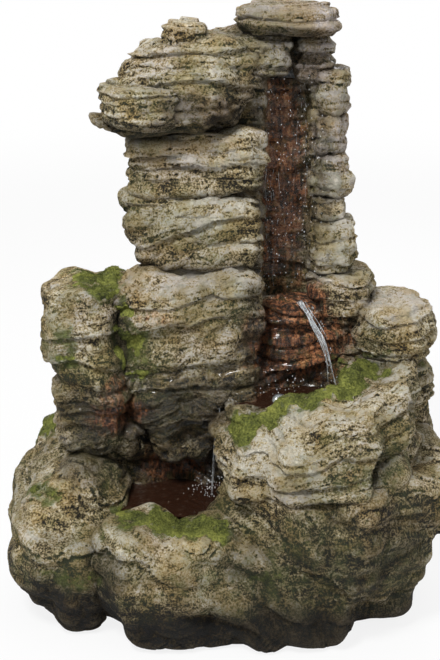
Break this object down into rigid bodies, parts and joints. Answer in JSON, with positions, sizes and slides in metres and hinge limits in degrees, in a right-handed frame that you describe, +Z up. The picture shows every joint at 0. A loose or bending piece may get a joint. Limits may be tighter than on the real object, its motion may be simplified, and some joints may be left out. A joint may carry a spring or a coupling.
{
  "type": "waterfall water feature",
  "caption": "Free-standing rock-effect garden waterfall: stacked layered stones round a channel, an upper basin, a lower pool, and a hidden tub, pump, hose and rear hatch.",
  "frame": {"origin": "on the ground, under the middle of the base", "axes": "+Z up; the pools and the channel face -Y; the hatch is at the back, facing +Y; +X is to the right of someone who faces the falls"},
  "size_m": [0.935, 0.64, 1.256],
  "materials": {
    "layered_rock": "rough cast, weathered",
    "rust_rock": "wet, iron-stained",
    "grey_plastic": "matt moulded",
    "black_plastic": "matt moulded",
    "rubber": "matt",
    "magnet_rotor": "moulded over a magnet",
    "ceramic": "ground",
    "filter_foam": "open-cell foam",
    "stainless_steel": "brushed",
    "lamp_glass": "clear"
  },
  "bodies": {
    "rockwork": {"base_rock": "layered_rock", "tower_core": "layered_rock", "centre_boulder": "layered_rock", "column_stone_lower": "layered_rock", "column_stone_upper": "layered_rock", "cap_slab": "layered_rock", "cap_shelf_stone": "layered_rock", "cap_pebble": "layered_rock", "upper_basin_rock": "layered_rock", "pier_stone_1": "layered_rock", "pier_stone_2": "layered_rock", "pier_stone_3": "layered_rock", "pier_stone_4": "layered_rock", "pier_stone_5": "layered_rock", "left_ledge_rock": "layered_rock", "pier_foot_stone": "layered_rock", "flank_rock": "layered_rock", "right_shoulder_rock": "layered_rock", "rear_right_rock": "layered_rock", "rear_left_rock": "layered_rock", "bridge_stone": "layered_rock", "neck_stone": "layered_rock", "rear_coping_stone": "layered_rock", "splash_wall": "rust_rock", "spill_ledge": "rust_rock", "base_plate": "grey_plastic", "pump_volute": "grey_plastic", "strainer_cage": "grey_plastic", "reservoir_tub": "black_plastic", "pump_motor": "black_plastic", "outlet_nipple": "black_plastic", "header_spout": "black_plastic", "header_nut": "black_plastic", "shaft_bush_front": "rubber", "shaft_bush_rear": "rubber", "pump_foot_left": "rubber", "pump_foot_right": "rubber", "riser_hose": "rubber", "cable_gland": "rubber", "impeller_shaft": "ceramic", "filter_foam": "filter_foam", "return_grate": "stainless_steel", "hose_clip_lower": "stainless_steel", "hose_clip_upper": "stainless_steel", "hinge_leaf_frame": "stainless_steel", "hinge_pin": "stainless_steel", "turn_button_screw": "stainless_steel", "lower_lamp_bracket": "stainless_steel", "upper_lamp_bracket": "stainless_steel"},
    "impeller": {"impeller": "magnet_rotor"},
    "flow_dial": {"flow_dial": "grey_plastic"},
    "hatch": {"hatch_door": "grey_plastic", "hinge_leaf_door": "stainless_steel"},
    "turn_button": {"turn_button": "grey_plastic"},
    "drain_bung": {"drain_bung": "rubber"},
    "top_slab": {"top_slab": "layered_rock"},
    "lower_lamp": {"lower_lamp_body": "black_plastic", "lower_lamp_lens": "lamp_glass"},
    "upper_lamp": {"upper_lamp_body": "black_plastic", "upper_lamp_lens": "lamp_glass"}
  },
  "joints": [
    {"name": "impeller_spin", "type": "hinge", "parent": "rockwork", "child": "impeller", "pos_m": [0.1, 0.165, 0.0539], "axis": [1, 0, 0], "continuous": true},
    {"name": "flow_dial_turn", "type": "hinge", "parent": "rockwork", "child": "flow_dial", "pos_m": [0.1, 0.165, 0.0539], "axis": [1, 0, 0], "range_deg": [0, 90]},
    {"name": "hatch_swing", "type": "hinge", "parent": "rockwork", "child": "hatch", "pos_m": [-0.1048, 0.3095, 0.11], "axis": [0, 0, 1], "range_deg": [0, 110]},
    {"name": "turn_button_turn", "type": "hinge", "parent": "rockwork", "child": "turn_button", "pos_m": [0.11, 0.3003, 0.11], "axis": [0, 1, 0], "range_deg": [0, 90]},
    {"name": "drain_bung_pull", "type": "slide", "parent": "rockwork", "child": "drain_bung", "axis": [0, 1, 0], "range_m": [0, 0.018]},
    {"name": "top_slab_lift_off", "type": "slide", "parent": "rockwork", "child": "top_slab", "axis": [0, 0, 1], "range_m": [0, 0.12]},
    {"name": "lower_lamp_tilt", "type": "hinge", "parent": "rockwork", "child": "lower_lamp", "pos_m": [-0.135, -0.11, 0.1903], "axis": [1, 0, 0], "range_deg": [-30, 45]},
    {"name": "upper_lamp_tilt", "type": "hinge", "parent": "rockwork", "child": "upper_lamp", "pos_m": [0.11, -0.07, 0.4553], "axis": [1, 0, 0], "range_deg": [-30, 45]}
  ]
}
